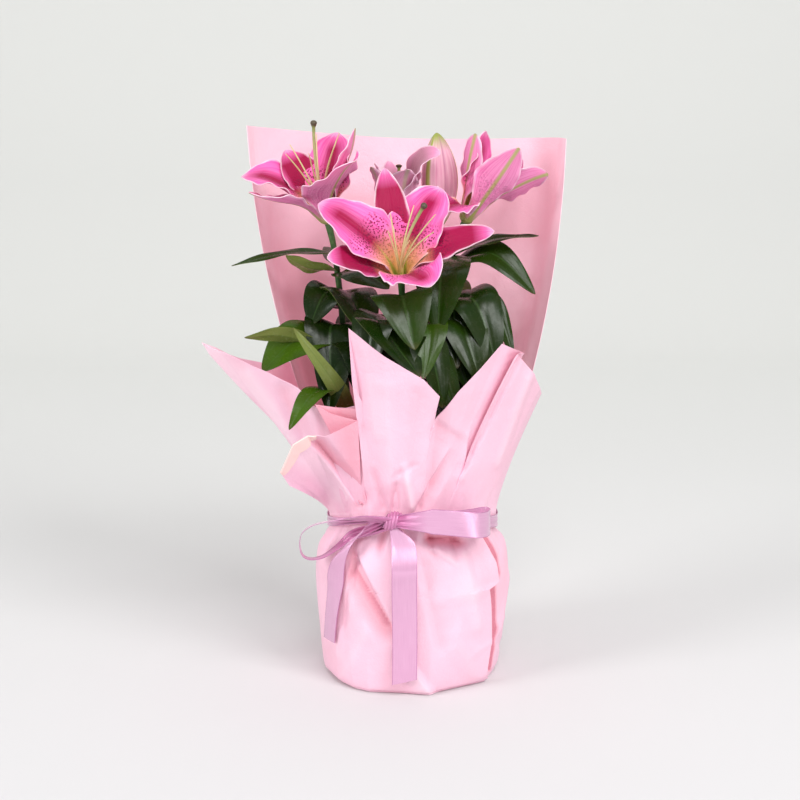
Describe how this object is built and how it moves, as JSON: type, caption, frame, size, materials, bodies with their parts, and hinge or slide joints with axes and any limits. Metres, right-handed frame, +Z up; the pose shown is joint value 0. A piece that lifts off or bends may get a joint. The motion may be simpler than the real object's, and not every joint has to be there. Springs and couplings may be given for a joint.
{
  "type": "potted lily",
  "caption": "Pink oriental lily in bloom, in a round nursery pot wrapped in folded pink paper that rises behind the plant and is tied above the rim with a satin ribbon bow.",
  "frame": {"origin": "middle of the underside of the wrapped pot, on the surface that it stands on", "axes": "+Z up the plant, -Y towards the front with the ribbon bow, +X to the right seen from the front"},
  "size_m": [0.3357, 0.2603, 0.5268],
  "materials": {
    "pot_plastic": "matte",
    "compost": "matte",
    "wrap_paper": "matte",
    "satin_ribbon": "satin",
    "leaf_green": "satin",
    "petal_pink": "matte",
    "style_green": "satin",
    "bud_pink": "matte"
  },
  "bodies": {
    "root": {"nursery_pot": "pot_plastic", "compost": "compost", "base_sheet": "wrap_paper", "front_sheet": "wrap_paper", "back_sheet": "wrap_paper", "ribbon": "satin_ribbon", "stem_left": "leaf_green", "stem_front": "leaf_green", "stem_right": "leaf_green", "bloom_front_tepals": "petal_pink", "bloom_left_tepals": "petal_pink", "bloom_back_tepals": "petal_pink", "bloom_right_tepals": "petal_pink", "bloom_front_pistil": "style_green", "bloom_left_pistil": "style_green", "bloom_back_pistil": "style_green", "bloom_right_pistil": "style_green", "bud_upright": "bud_pink"}
  },
  "joints": []
}
